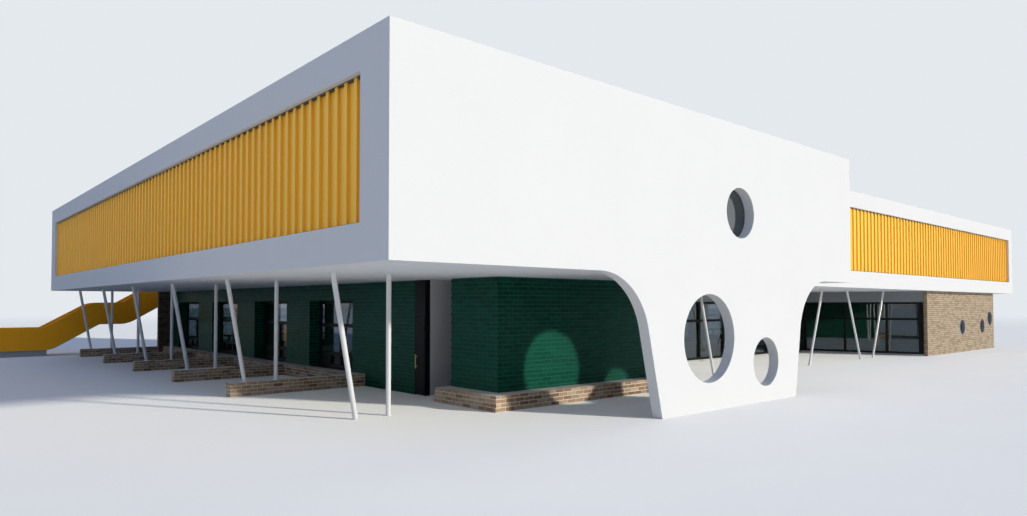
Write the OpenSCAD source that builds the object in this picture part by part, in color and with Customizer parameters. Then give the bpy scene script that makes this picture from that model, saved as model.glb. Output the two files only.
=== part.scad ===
// Two-storey school building as a half-size model, in millimetres.
// The plan is an L: a long main box and a wing, both raised over a set-back ground floor.
// All plan sizes are measured from the near left corner of the main box, at ground level.
// The finished model has its origin under the middle of the curved leg's foot.

/* [White upper boxes] */
// Width of the main box, along its end wall
main_w = 9950; // [9500:50:11000]
// Length of the main box
main_l = 18450; // [18300:50:19500]
// How far the wing runs out past the main box
wing_out = 17175; // [16600:25:19000]
// Width of the wing
wing_w = 9950; // [9000:50:11000]
// Set-back of the wing's front from the end wall
wing_y = 1525; // [1200:25:1650]
// Height of the soffit over the ground
soffit_z = 1925; // [1850:5:2050]
// Height of the upper storey's walls, from soffit to parapet top
box_h = 2305; // [2100:5:2600]
// Thickness of the upper side walls
wall_t = 225; // [180:5:260]
// Thickness of the upper floor
floor_t = 150; // [100:5:200]
// Thickness of the roof deck
roof_t = 125; // [80:5:180]
// Height of the parapet over the roof deck
parapet_h = 230; // [100:5:350]

/* [Cladding panels] */
// White band under a panel
band_bottom = 400; // [250:10:500]
// White band over a panel
band_top = 385; // [250:5:500]
// White band beside a panel on the main box
band_main = 550; // [400:10:700]
// White band beside a panel on the wing
band_wing = 400; // [300:10:600]
// Depth of the pocket that a panel sits in
pocket_d = 100; // [80:5:140]
// Set-back of a panel's face from the white face
panel_recess = 60; // [30:5:70]

/* [End wall and leg] */
// Thickness of the end wall
end_wall_t = 160; // [120:5:300]
// Left side of the leg at the ground
leg_left = 4175; // [3900:25:4300]
// Right side of the leg at the ground
leg_right = 7800; // [7700:25:8200]
// Lean of the leg's left side from upright, in degrees
leg_lean_left = 13.4; // [5:0.2:15]
// Lean of the leg's right side from upright, in degrees
leg_lean_right = 9.1; // [5:0.1:12]
// Radius of the curves that join the leg to the soffit
arch_r = 950; // [800:10:1000]
// Radius of the large opening
big_hole_r = 633; // [500:1:650]
// Height of the large opening's centre
big_hole_z = 1030; // [900:5:1060]
// Distance of the large opening's centre from the corner
big_hole_x = 5300; // [5250:5:5400]
// Radius of the small opening
small_hole_r = 380; // [300:5:400]
// Height of the small opening's centre
small_hole_z = 618; // [550:1:700]
// Distance of the small opening's centre from the corner
small_hole_x = 6850; // [6750:5:6900]
// Radius of the round windows in the upper storey
round_window_r = 383; // [300:1:400]
// Height of the upper round windows' centres over the soffit
round_window_up = 970; // [800:5:1100]
// Distance of the upper round window's centre from the corner
round_window_x = 6135; // [6000:5:6300]

/* [Ground floor] */
// Distance of the long green front behind the box's edge
facade_x = 3175; // [3100:25:3300]
// Thickness of the long green front
facade_t = 300; // [290:5:340]
// Thickness of the other ground floor walls
brick_t = 175; // [120:5:200]
// Front of the green corner block
block_y = 2170; // [2100:10:2300]
// Right end of the green corner block
block_x1 = 7500; // [7400:25:7800]
// Near side of the entrance recess
recess_y0 = 3310; // [3200:10:3400]
// Width of the entrance recess
recess_w = 740; // [600:10:800]
// Depth of the entrance recess
recess_d = 1075; // [800:25:1300]
// Thickness of the grey wall beside the recess
return_t = 75; // [60:5:100]
// Set-back of the unseen walls behind the box's edge
inset = 325; // [260:5:400]
// How far the far end wall runs out past the green front
fin_out = 390; // [290:10:400]
// Width of a window in the green front
window_w = 1850; // [1600:25:2000]
// Height of the window sills
sill_z = 225; // [200:5:300]
// Height of the window heads
head_z = 1600; // [1500:10:1700]
// Height of the low rail in the windows
rail_z = 475; // [400:5:550]
// Distance from a column line to the next window
window_off = 400; // [350:10:500]
// Set-back of the window frames behind the green front
window_back = 225; // [150:5:225]
// Distance between the windows in the walls that look onto the court
rear_bay = 3000; // [2900:10:3020]
// Thickness of the floor inside
ground_floor_t = 50; // [30:5:80]

/* [Glazing] */
// Line of the glazed wall behind the wing's columns
glazing_y = 5200; // [5000:25:5400]
// Where the glazed wall turns forward, past the main box's side
glazing_turn_off = 8750; // [8600:25:8850]
// Head of the glazed walls
glazing_head_z = 1600; // [1500:10:1700]
// Height of the transom's underside
transom_z = 1065; // [1000:5:1200]
// Depth of the window and glazing frames
frame_d = 50; // [30:5:60]
// Face width of the window and glazing bars
bar_w = 50; // [30:1:60]
// Thickness of the glass
glass_t = 12; // [6:1:20]
// Distance between uprights of the glazed walls, from the turn
mullion_pitch = 1170; // [1050:10:1300]
// Width of the upright that ends the glazed wall at the tan brick room
end_post_w = 60; // [55:1:80]
// Set-back of that upright behind the room's front
end_post_back = 100; // [60:5:110]
// Face width of the rings that hold the upper round windows
ring_w = 25; // [15:1:50]

/* [Tan brick room] */
// Left corner of the tan brick room, past the main box's side
room_off = 9550; // [9500:25:9650]
// Set-back of the room's right corner from the wing's end
room_inset = 1125; // [1000:25:1300]
// Front of the tan brick room
room_y = 1850; // [1800:10:1950]
// Radius of its round windows
porthole_r = 250; // [200:5:280]
// Height of the two lower round windows
porthole_z = 800; // [700:5:900]
// Height of the upper round window
porthole_high_z = 1045; // [1000:5:1200]
// Distance of the first round window from the room's right corner
porthole_1 = 3350; // [3000:25:3600]
// Distance of the second round window from the room's right corner
porthole_2 = 1285; // [1150:5:1500]
// Distance of the third round window from the room's right corner
porthole_3 = 430; // [430:5:500]

/* [Low brick walls] */
// Height of the low walls
low_h = 225; // [180:5:225]
// Width of the low wall beside the green walls
low_t = 280; // [200:5:290]
// Thickness of the cross walls under the columns
cross_t = 175; // [150:5:220]
// Outer end of the cross walls
cross_x0 = 700; // [650:25:800]
// How far the corner seat runs past the block's far side
seat_over = 60; // [0:10:200]

/* [Columns] */
// Distance of the last column line from the box's far end
far_line = 350; // [250:10:450]
// First column line that stands on a cross wall
first_line = 6100; // [6000:25:6200]
// Column line nearest the end wall
near_line = 2680; // [2600:20:2800]
// Radius of the main box's columns
column_r = 35; // [30:1:50]
// Distance of the upright columns from the box's edge
upright_x = 1500; // [1400:25:1550]
// Distance of the slanted columns' tops from the box's edge
slant_top_x = 665; // [600:5:720]
// Lean of the slanted columns from upright, in degrees
slant_lean = 10; // [8:0.5:14]
// How far the nearest pair stands further in
near_shift = 140; // [0:10:200]
// Radius of the wing's columns
wing_column_r = 28; // [20:1:40]
// Line of the wing's columns
wing_line = 2700; // [2600:25:2800]
// Middle of the first pair of wing columns, past the main box's side
wing_pair_1 = 50; // [0:10:200]
// Middle of the second pair of wing columns, past the main box's side
wing_pair_2 = 3485; // [3300:5:3600]
// Middle of the third pair of wing columns, past the main box's side
wing_pair_3 = 7340; // [7200:10:7400]
// Distance between the feet of a wing pair
wing_foot_gap = 825; // [600:5:900]
// Lean of the first pair of wing columns from upright, in degrees
wing_lean_1 = 15.5; // [12:0.1:22]
// Lean of the second pair of wing columns from upright, in degrees
wing_lean_2 = 21.5; // [15:0.1:25]
// Lean of the third pair of wing columns from upright, in degrees
wing_lean_3 = 23.2; // [15:0.1:25]

/* [Services door] */
// Width of the black frame
service_w = 300; // [280:5:350]
// Height of the door leaf
leaf_h = 1300; // [1100:10:1500]
// Thickness of the door leaf
leaf_t = 25; // [20:1:30]
// Face width of the door frame
jamb_w = 20; // [15:1:25]
// Depth of the door frame
jamb_d = 100; // [60:5:120]
// Clearance round the door leaf
door_gap = 8; // [8:1:10]
// Radius of the hinge knuckles
knuckle_r = 7; // [5:0.5:8]
// Height of one hinge knuckle
knuckle_h = 35; // [25:5:50]
// Running clearance between knuckles
knuckle_gap = 0.3; // [0.2:0.1:0.5]
// Height of the pull handle
handle_h = 240; // [150:10:300]
// Height of the handle's middle
handle_z = 560; // [500:10:650]
// Radius of the pull handle
handle_r = 8; // [6:1:12]
// Reach of the pull handle from the leaf
handle_out = 30; // [25:1:40]

/* [Outside stair] */
// Gap between the far end wall and the stair's near side
stair_off = 700; // [500:25:900]
// Clear width of the stair
stair_w = 800; // [600:25:900]
// Thickness of the yellow side plates
plate_t = 40; // [20:1:50]
// Depth of the yellow side plates, square to the slope
plate_depth = 670; // [600:10:750]
// Height of the plate's top over the walking line, square to the slope
guard_h = 550; // [500:10:600]
// Slope of the flights, in degrees
stair_slope = 30.7; // [28:0.1:33]
// Walking height of the lower platform
base_level = 290; // [280:5:330]
// Walking height of the middle landing
mid_level = 1040; // [950:10:1150]
// Left end of the lower platform
base_x0 = -2000; // [-2400:50:-1500]
// Going of the two entry steps
entry_going = 150; // [140:5:170]
// Where the side plates start to climb
climb_x = 20; // [-50:5:100]
// Length of the side plates' level stretch at the middle landing
mid_run = 790; // [700:10:900]
// Length of the top landing
top_run = 1040; // [1000:10:1200]
// Radius of the side plates' bends at mid-depth
bend_r = 500; // [450:10:550]
// Risers in the lower flight
lower_risers = 9; // [8:1:10]
// Risers in the upper flight
upper_risers = 12; // [11:1:14]
// Thickness of the treads
tread_t = 25; // [15:1:35]
// Thickness of the landings
landing_t = 100; // [80:5:115]
// Radius of the posts under the top landing
post_r = 38; // [30:1:50]
// Width of the upper doorway
upper_door_w = 500; // [450:10:600]
// Height of the upper doorway
upper_door_h = 1050; // [1000:10:1150]

/* [Hidden] */
top_z = soffit_z + box_h;
floor_z = soffit_z + floor_t;
roof_z = top_z - parapet_h;
main_x = [wall_t, main_w - wall_t];
main_y = [end_wall_t, main_l - wall_t];
wing_x1 = main_w + wing_out;
wing_y1 = wing_y + wing_w;
wing_in_x = [main_w - wall_t, wing_x1 - wall_t];
wing_in_y = [wing_y + wall_t, wing_y1 - wall_t];
panel_h = box_h - band_bottom - band_top;
foot_mid = (leg_left + leg_right) / 2;
bay = (main_l - far_line - first_line) / 4;
column_lines = [for (i = [0:4]) first_line + i * bay];
far_y = [column_lines[4] - cross_t / 2, column_lines[4] - cross_t / 2 + brick_t];
recess_y1 = recess_y0 + recess_w;
recess_x1 = facade_x + recess_d;
service_y1 = recess_y1 + service_w;
east_x = main_w - inset;
back_y = wing_y1 - inset;
window_y = [for (i = [0:3]) first_line + window_off + i * bay];
east_window_y = [for (i = [2:3]) first_line + window_off + i * bay];
back_window_x = [for (i = [0:4]) east_x + window_off + i * rear_bay];
far_window_x = [for (i = [0:1]) facade_x + window_off + i * rear_bay];
seat_y0 = block_y - low_t;
room_x0 = main_w + room_off;
room_x1 = wing_x1 - room_inset;
room_portholes = [
    [room_x1 - porthole_1, porthole_z],
    [room_x1 - porthole_2, porthole_z],
    [room_x1 - porthole_3, porthole_high_z]
];
glazing_turn = [main_w + glazing_turn_off, glazing_y];
end_post_x = [room_x0 - end_post_w, room_x0];
end_post_y = [room_y + end_post_back, room_y + end_post_back + end_post_w];
glazing_end = [end_post_x[0], end_post_y[1]];
angled_len = norm(glazing_end - glazing_turn);
angled_turn = atan2(glazing_end.y - glazing_turn.y, glazing_end.x - glazing_turn.x);
straight_len = glazing_turn.x - block_x1;
glazing_in = frame_d * [-sin(angled_turn), cos(angled_turn)];
angle_gap = 0.5;
seat_gap = 0.3;
wing_pairs = [
    [main_w + wing_pair_1, wing_lean_1],
    [main_w + wing_pair_2, wing_lean_2],
    [main_w + wing_pair_3, wing_lean_3]
];
leaf_y0 = recess_y1 + jamb_w + door_gap;
leaf_w = service_w - 2 * jamb_w - 2 * door_gap;
leaf_z0 = door_gap;
hinge_x = facade_x - knuckle_r - 1;
hinge_y = recess_y1 + jamb_w + door_gap / 2;
hinge_z = [0.12, 0.5, 0.84] * leaf_h;
stair_y = [main_l + stair_off + plate_t, main_l + stair_off + plate_t + stair_w];
walk_below = guard_h - plate_depth / 2;
plate_z0 = base_level + walk_below;
plate_z1 = mid_level + walk_below;
plate_z2 = floor_z + walk_below;
climb_1 = round((mid_level - base_level) / tan(stair_slope));
climb_2 = round((floor_z - mid_level) / tan(stair_slope));
walk_shift = round(walk_below * tan(stair_slope / 2));
mid_x = climb_x + climb_1;
climb_x2 = mid_x + mid_run;
top_x = climb_x2 + climb_2;
top_walk_x = top_x + walk_shift;
top_end_x = top_walk_x + top_run;
near_end_x = top_x + round(bend_r * tan(stair_slope / 2)) + plate_t;
upper_door_x = (near_end_x + top_end_x - upper_door_w) / 2;
fine = 96;
arc_steps = 20;
cut = 10;

// Moves the plan's corner so that the leg's foot stands on the origin.
module plan() translate([-foot_mid, -end_wall_t / 2, 0]) children();

// A box between two limits on each axis.
module slab(x, y, z) translate([x[0], y[0], z[0]]) cube([x[1] - x[0], y[1] - y[0], z[1] - z[0]]);

// Lays a wall that is drawn along x, outer face at y = 0, onto one side of a box.
module facing_left(y) translate([0, y, 0]) rotate([0, 0, -90]) children();
module facing_right(x, y) translate([x, y, 0]) rotate([0, 0, 90]) children();
module facing_back(x, y) translate([x, y, 0]) rotate([0, 0, 180]) children();

// Points on an arc from angle a to angle b.
function arc(c, r, a, b) =
    [for (i = [0:arc_steps]) let (t = a + (b - a) * i / arc_steps) c + r * [cos(t), sin(t)]];

// Upper wall with a shallow pocket for its cladding.
module panel_wall(len, side_a, side_b)
    difference() {
        slab([0, len], [0, wall_t], [soffit_z, top_z]);
        slab([side_a, len - side_b], [-cut, pocket_d],
            [soffit_z + band_bottom, soffit_z + band_bottom + panel_h]);
    }

module panel(len, side_a, side_b)
    slab([side_a, len - side_b], [panel_recess, pocket_d],
        [soffit_z + band_bottom, soffit_z + band_bottom + panel_h]);

// Round hole through a wall that is drawn along x.
module wall_hole(x, z, r, t)
    translate([x, t + cut, z]) rotate([90, 0, 0]) cylinder(r = r, h = t + 2 * cut, $fn = fine);

module wall_disc(x, z, r, y, t)
    translate([x, y + t, z]) rotate([90, 0, 0]) cylinder(r = r, h = t, $fn = fine);

// Holes for one row of panes in a window frame that is drawn along x.
module pane_row(count, z)
    let (pitch = (window_w - bar_w) / count)
        for (i = [1:count])
            slab([(i - 1) * pitch + bar_w, i * pitch], [-cut, frame_d + cut], z);

// Window frame drawn along x: one pane over the transom, two under it, four under the rail.
module window_frame()
    difference() {
        slab([0, window_w], [0, frame_d], [sill_z, head_z]);
        pane_row(1, [transom_z + bar_w, head_z - bar_w]);
        pane_row(2, [rail_z + bar_w, transom_z]);
        pane_row(4, [sill_z + bar_w, rail_z]);
    }

// Glazed wall frame drawn along x, with uprights at an even pitch, an end bay and a transom.
module glazing_frame(len)
    let (bays = floor((len - bar_w) / mullion_pitch - 0.2),
        uprights = concat([for (i = [0:bays]) i * mullion_pitch], [len - bar_w]))
        difference() {
            slab([0, len], [0, frame_d], [ground_floor_t, glazing_head_z]);
            for (i = [0:bays]) {
                slab([uprights[i] + bar_w, uprights[i + 1]], [-cut, frame_d + cut],
                    [ground_floor_t + bar_w, transom_z]);
                slab([uprights[i] + bar_w, uprights[i + 1]], [-cut, frame_d + cut],
                    [transom_z + bar_w, glazing_head_z - bar_w]);
            }
        }

// Arches on both sides of the leg, as centres of their arcs.
left_arch = [
    leg_left - (soffit_z - arch_r) * tan(leg_lean_left) - arch_r / cos(leg_lean_left),
    soffit_z - arch_r
];
right_arch = [
    leg_right + (soffit_z - arch_r) * tan(leg_lean_right) + arch_r / cos(leg_lean_right),
    soffit_z - arch_r
];

module end_wall()
    color("white") plan()
        difference() {
            translate([0, end_wall_t, 0]) rotate([90, 0, 0]) linear_extrude(end_wall_t)
                polygon(concat(
                    [[0, soffit_z], [0, top_z], [main_w, top_z], [main_w, soffit_z]],
                    arc(right_arch, arch_r, 90, 180 - leg_lean_right),
                    [[leg_right, 0], [leg_left, 0]],
                    arc(left_arch, arch_r, leg_lean_left, 90)
                ));
            wall_hole(big_hole_x, big_hole_z, big_hole_r, end_wall_t);
            wall_hole(small_hole_x, small_hole_z, small_hole_r, end_wall_t);
            wall_hole(round_window_x, soffit_z + round_window_up, round_window_r, end_wall_t);
        }

module left_wall()
    color("white") plan() facing_left(main_y[1])
        panel_wall(main_y[1] - main_y[0], band_main - wall_t, band_main - end_wall_t);

module left_cladding()
    color("orange") plan() facing_left(main_y[1])
        panel(main_y[1] - main_y[0], band_main - wall_t, band_main - end_wall_t);

module far_wall()
    color("white") plan()
        difference() {
            slab([0, main_w], [main_y[1], main_l], [soffit_z, top_z]);
            translate([0, main_y[1], 0])
                wall_hole(round_window_x, soffit_z + round_window_up, round_window_r, wall_t);
            slab([upper_door_x, upper_door_x + upper_door_w], [main_y[1] - cut, main_l + cut],
                [floor_z, floor_z + upper_door_h]);
        }

module side_walls()
    color("white") plan() {
        slab([main_x[1], main_w], [end_wall_t, wing_y], [soffit_z, top_z]);
        facing_right(main_w, wing_y1)
            panel_wall(main_y[1] - wing_y1, band_main, band_main - wall_t);
    }

module court_cladding()
    color("orange") plan() {
        facing_right(main_w, wing_y1) panel(main_y[1] - wing_y1, band_main, band_main - wall_t);
        facing_back(wing_in_x[1], wing_y1)
            panel(wing_in_x[1] - wing_in_x[0], band_wing - wall_t, wall_t + band_wing);
    }

module wing_front_wall()
    color("white") plan() translate([wing_in_x[0], wing_y, 0])
        panel_wall(wing_in_x[1] - wing_in_x[0], wall_t + band_wing, band_wing - wall_t);

module wing_front_cladding()
    color("orange") plan() translate([wing_in_x[0], wing_y, 0])
        panel(wing_in_x[1] - wing_in_x[0], wall_t + band_wing, band_wing - wall_t);

module wing_end_wall()
    color("white") plan()
        difference() {
            slab([wing_in_x[1], wing_x1], [wing_y, wing_y1], [soffit_z, top_z]);
            facing_right(wing_x1, wing_y)
                wall_hole(wing_w / 2, soffit_z + round_window_up, round_window_r, wall_t);
        }

module wing_back_wall()
    color("white") plan() facing_back(wing_in_x[1], wing_y1)
        panel_wall(wing_in_x[1] - wing_in_x[0], band_wing - wall_t, wall_t + band_wing);

module upper_floor()
    color("gainsboro") plan() {
        slab(main_x, main_y, [soffit_z, floor_z]);
        slab(wing_in_x, wing_in_y, [soffit_z, floor_z]);
    }

module roof_deck()
    color("gray") plan() {
        slab(main_x, main_y, [roof_z - roof_t, roof_z]);
        slab(wing_in_x, wing_in_y, [roof_z - roof_t, roof_z]);
    }

// Places its children behind each of the three upper round windows, the wall's back at y = 0.
module at_round_windows() {
    translate([round_window_x, end_wall_t, 0]) children();
    facing_right(wing_x1, wing_y + wing_w / 2) translate([0, wall_t, 0]) children();
    facing_back(round_window_x, main_l) translate([0, wall_t, 0]) children();
}

module round_window_rings()
    color("dimgray") plan() at_round_windows()
        difference() {
            wall_disc(0, soffit_z + round_window_up, round_window_r + ring_w, 0, frame_d);
            wall_hole(0, soffit_z + round_window_up, round_window_r, frame_d);
        }

module round_glass()
    color("lightblue") plan() {
        at_round_windows()
            wall_disc(0, soffit_z + round_window_up, round_window_r, 0, glass_t);
        translate([0, room_y, 0])
            for (p = room_portholes) wall_disc(p.x, p.y, porthole_r, brick_t / 2, glass_t);
    }

module green_front()
    color("darkgreen") plan()
        difference() {
            slab([facade_x, facade_x + facade_t], [service_y1, far_y[0]], [0, soffit_z]);
            for (y = window_y)
                slab([facade_x - cut, facade_x + facade_t + cut], [y, y + window_w],
                    [sill_z, head_z]);
        }

// Walls of the corner block: side to the recess, front, return to the glazing, and outer side.
module green_block()
    color("darkgreen") plan() {
        slab([facade_x + brick_t, recess_x1 + frame_d], [recess_y0 - brick_t, recess_y0],
            [0, soffit_z]);
        slab([facade_x, facade_x + brick_t], [block_y, recess_y0], [0, soffit_z]);
        slab([facade_x, block_x1], [block_y, block_y + brick_t], [0, soffit_z]);
        slab([block_x1 - brick_t, block_x1], [block_y, glazing_y + frame_d], [0, soffit_z]);
    }

// Grey wall beside the recess, which turns to close the back of the services cupboard.
module grey_return_wall()
    color("gray") plan() {
        slab([facade_x + jamb_d, recess_x1 + frame_d], [recess_y1, recess_y1 + return_t],
            [0, soffit_z]);
        slab([facade_x + facade_t - return_t, facade_x + facade_t], [recess_y1, service_y1],
            [0, soffit_z]);
    }

// Fixed glazed screen at the back of the entrance recess.
module entrance_screen()
    color("black") plan()
        difference() {
            slab([recess_x1, recess_x1 + frame_d], [recess_y0, recess_y1],
                [ground_floor_t, soffit_z]);
            slab([recess_x1 - cut, recess_x1 + frame_d + cut],
                [recess_y0 + bar_w, recess_y1 - bar_w], [ground_floor_t + bar_w, transom_z]);
            slab([recess_x1 - cut, recess_x1 + frame_d + cut],
                [recess_y0 + bar_w, recess_y1 - bar_w], [transom_z + bar_w, head_z]);
        }

module at_front_windows()
    for (y = window_y) translate([facade_x + window_back, y + window_w, 0]) rotate([0, 0, -90])
        children();

// Windows in the walls that face away from the street side.
module at_rear_windows() {
    for (y = east_window_y) facing_right(east_x - brick_t / 2, y) children();
    for (x = back_window_x) facing_back(x + window_w, back_y - brick_t / 2) children();
    for (x = far_window_x) facing_back(x + window_w, far_y[1] - brick_t / 2) children();
}

module window_frames()
    color("black") plan() {
        at_front_windows() window_frame();
        at_rear_windows() window_frame();
    }

// Glass that lies against the inner side of each window frame and of the entrance screen.
module window_glass()
    color("lightblue") plan() {
        at_front_windows() slab([0, window_w], [frame_d, frame_d + glass_t], [sill_z, head_z]);
        at_rear_windows() slab([0, window_w], [frame_d, frame_d + glass_t], [sill_z, head_z]);
        slab([recess_x1 + frame_d, recess_x1 + frame_d + glass_t], [recess_y0, recess_y1],
            [ground_floor_t, head_z + bar_w]);
    }

// Black frame of the services cupboard, with its fixed panel over the door.
module service_frame()
    color("black") plan() {
        for (y = [recess_y1, service_y1 - jamb_w])
            slab([facade_x, facade_x + jamb_d], [y, y + jamb_w], [0, soffit_z]);
        slab([facade_x, facade_x + jamb_d], [recess_y1 + jamb_w, service_y1 - jamb_w],
            [leaf_z0 + leaf_h + door_gap, soffit_z]);
        for (z = hinge_z) {
            translate([hinge_x, hinge_y, z]) cylinder(r = knuckle_r, h = knuckle_h, $fn = fine);
            slab([hinge_x, facade_x], [recess_y1, hinge_y], [z, z + knuckle_h]);
        }
    }

module service_door()
    color("black") plan() {
        slab([facade_x, facade_x + leaf_t], [leaf_y0, leaf_y0 + leaf_w],
            [leaf_z0, leaf_z0 + leaf_h]);
        for (z = hinge_z)
            translate([0, 0, z + knuckle_h + knuckle_gap]) {
                translate([hinge_x, hinge_y, 0])
                    cylinder(r = knuckle_r, h = knuckle_h, $fn = fine);
                slab([hinge_x, facade_x], [hinge_y, leaf_y0 + jamb_w], [0, knuckle_h]);
            }
    }

// Upright pull handle near the free edge of the services door.
module service_handle()
    color("gold") plan()
        translate([facade_x - handle_out, leaf_y0 + leaf_w - 4 * handle_r, handle_z]) {
            translate([0, 0, -handle_h / 2]) cylinder(r = handle_r, h = handle_h, $fn = 24);
            for (z = [-1, 1] * handle_h / 3)
                translate([0, 0, z]) rotate([0, 90, 0])
                    cylinder(r = handle_r / 2, h = handle_out, $fn = 24);
        }

module far_brick_wall()
    color("saddlebrown") plan()
        difference() {
            slab([facade_x - fin_out, east_x], far_y, [0, soffit_z]);
            for (x = far_window_x)
                slab([x, x + window_w], [far_y[0] - cut, far_y[1] + cut], [sill_z, head_z]);
        }

// Walls of the main box and of the wing that look onto the inner court.
module court_side_wall()
    color("darkgreen") plan()
        difference() {
            slab([east_x - brick_t, east_x], [back_y - brick_t, far_y[0]], [0, soffit_z]);
            for (y = east_window_y)
                slab([east_x - brick_t - cut, east_x + cut], [y, y + window_w],
                    [sill_z, head_z]);
        }

module court_back_wall()
    color("darkgreen") plan()
        difference() {
            slab([east_x, room_x1 - brick_t], [back_y - brick_t, back_y], [0, soffit_z]);
            for (x = back_window_x)
                slab([x, x + window_w], [back_y - brick_t - cut, back_y + cut],
                    [sill_z, head_z]);
        }

// Lays its children along the angled stretch of the glazed wall.
module along_angle() translate(glazing_turn) rotate([0, 0, angled_turn]) children();

// Closes the turn of the glazed wall, on the straight stretch's end.
module turn_post(z)
    translate([glazing_turn.x, glazing_turn.y, z[0]]) linear_extrude(z[1] - z[0])
        polygon([[0, 0], [0, frame_d], glazing_in]);

// Upright against the end of the room's front, with the wedge that meets the angled stretch.
module end_post(z) {
    slab(end_post_x, end_post_y, z);
    translate([glazing_end.x, glazing_end.y, z[0]]) linear_extrude(z[1] - z[0])
        polygon([[0, 0], [glazing_in.x, 0], glazing_in]);
}

module glazed_wall_frame()
    color("black") plan() {
        translate([glazing_turn.x, glazing_turn.y, 0]) mirror([1, 0, 0])
            glazing_frame(straight_len);
        turn_post([ground_floor_t, glazing_head_z]);
        along_angle() translate([angle_gap, 0, 0]) glazing_frame(angled_len - 2 * angle_gap);
        end_post([ground_floor_t, glazing_head_z]);
    }

module glazed_wall_glass()
    color("lightblue") plan() {
        slab([block_x1, glazing_turn.x - bar_w / 2],
            [glazing_y + frame_d, glazing_y + frame_d + glass_t],
            [ground_floor_t, glazing_head_z]);
        along_angle()
            slab([bar_w / 2, angled_len - bar_w / 2], [frame_d, frame_d + glass_t],
                [ground_floor_t, glazing_head_z]);
    }

// Grey band between the glazing's head and the soffit.
module glazing_bulkhead()
    let (z = [glazing_head_z, soffit_z - seat_gap])
        color("dimgray") plan() {
            slab([block_x1, glazing_turn.x], [glazing_y, glazing_y + frame_d], z);
            turn_post(z);
            along_angle() slab([angle_gap, angled_len - angle_gap], [0, frame_d], z);
            end_post(z);
        }

module room_front_wall()
    color("tan") plan() translate([0, room_y, 0])
        difference() {
            slab([room_x0, room_x1], [0, brick_t], [0, soffit_z]);
            for (p = room_portholes) wall_hole(p.x, p.y, porthole_r, brick_t);
        }

module room_side_wall()
    color("tan") plan()
        slab([room_x1 - brick_t, room_x1], [room_y + brick_t, back_y], [0, soffit_z]);

// Floor inside the ground floor walls.
module ground_floor()
    color("lightgray") plan() linear_extrude(ground_floor_t)
        polygon([
            [facade_x + brick_t, block_y + brick_t],
            [block_x1 - brick_t, block_y + brick_t],
            [block_x1 - brick_t, glazing_y + frame_d],
            [block_x1, glazing_y + frame_d],
            [block_x1, glazing_y],
            glazing_turn,
            glazing_end,
            [end_post_x[0], end_post_y[0]],
            [room_x0, end_post_y[0]],
            [room_x0, room_y + brick_t],
            [room_x1 - brick_t, room_y + brick_t],
            [room_x1 - brick_t, back_y - brick_t],
            [east_x - brick_t, back_y - brick_t],
            [east_x - brick_t, far_y[0]],
            [facade_x + facade_t, far_y[0]],
            [facade_x + facade_t, recess_y1 + return_t],
            [recess_x1 + frame_d, recess_y1 + return_t],
            [recess_x1 + frame_d, recess_y1],
            [recess_x1, recess_y1],
            [recess_x1, recess_y0],
            [recess_x1 + frame_d, recess_y0],
            [recess_x1 + frame_d, recess_y0 - brick_t],
            [facade_x + brick_t, recess_y0 - brick_t]
        ]);

// Low brick wall along the foot of the green front.
module sill_wall()
    color("peru") plan()
        slab([facade_x - low_t, facade_x], [column_lines[0] - cross_t / 2, far_y[0]], [0, low_h]);

// Low brick seat round the corner block.
module corner_seat()
    color("peru") plan() {
        slab([facade_x - low_t, facade_x], [seat_y0, recess_y0 + seat_over], [0, low_h]);
        slab([facade_x, block_x1], [seat_y0, block_y], [0, low_h]);
    }

// Cross walls under the columns, the last in line with the far end wall.
module cross_walls()
    color("peru") plan()
        for (i = [0:4])
            slab([cross_x0, facade_x - (i == 4 ? fin_out : low_t)],
                [column_lines[i] - cross_t / 2, column_lines[i] + cross_t / 2], [0, low_h]);

module upright(x, y, z) translate([x, y, z]) cylinder(r = column_r, h = soffit_z - z, $fn = 32);

// Column whose top stands at x and whose foot runs out by the lean, cut level at both ends.
module leaning(x, y, z, lean, r)
    intersection() {
        translate([x, y, soffit_z]) rotate([0, 180 - lean, 0])
            translate([0, 0, -2 * r])
                cylinder(r = r, h = (soffit_z - z) / cos(lean) + 4 * r, $fn = 32);
        slab([x - 2 * soffit_z, x + 2 * soffit_z], [y - 2 * r, y + 2 * r], [z, soffit_z]);
    }

module upright_columns()
    color("white") plan() {
        upright(upright_x + near_shift, near_line, 0);
        for (y = column_lines) upright(upright_x, y, low_h);
    }

module slanted_columns()
    color("white") plan() {
        leaning(slant_top_x + near_shift, near_line, 0, slant_lean, column_r);
        for (y = column_lines) leaning(slant_top_x, y, low_h, slant_lean, column_r);
    }

module wing_columns()
    color("white") plan()
        for (pair = wing_pairs, side = [-1, 1])
            leaning(pair.x + side * (wing_foot_gap / 2 + soffit_z * tan(pair.y)), wing_line, 0,
                -side * pair.y, wing_column_r);

// Outline of a side plate in x and z: level, climb, level, climb, level.
function bend(p, slope_in, slope_out, side) =
    let (turn = slope_out - slope_in, s = sign(turn),
        c = p + s * bend_r / cos(turn / 2) * [-sin((slope_in + slope_out) / 2),
            cos((slope_in + slope_out) / 2)],
        r = bend_r - s * side * plate_depth / 2,
        a = slope_in - s * 90)
        arc(c, r, a, a + turn);
function plate_side(end_x, side) = concat(
    [[base_x0, plate_z0 + side * plate_depth / 2]],
    bend([climb_x, plate_z0], 0, stair_slope, side),
    bend([mid_x, plate_z1], stair_slope, 0, side),
    bend([climb_x2, plate_z1], 0, stair_slope, side),
    bend([top_x, plate_z2], stair_slope, 0, side),
    [[end_x, plate_z2 + side * plate_depth / 2]]
);
function reversed(list) = [for (i = [len(list) - 1:-1:0]) list[i]];

module side_plate(end_x, y)
    translate([0, y + plate_t, 0]) rotate([90, 0, 0]) linear_extrude(plate_t)
        polygon(concat(plate_side(end_x, 1), reversed(plate_side(end_x, -1))));

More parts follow.
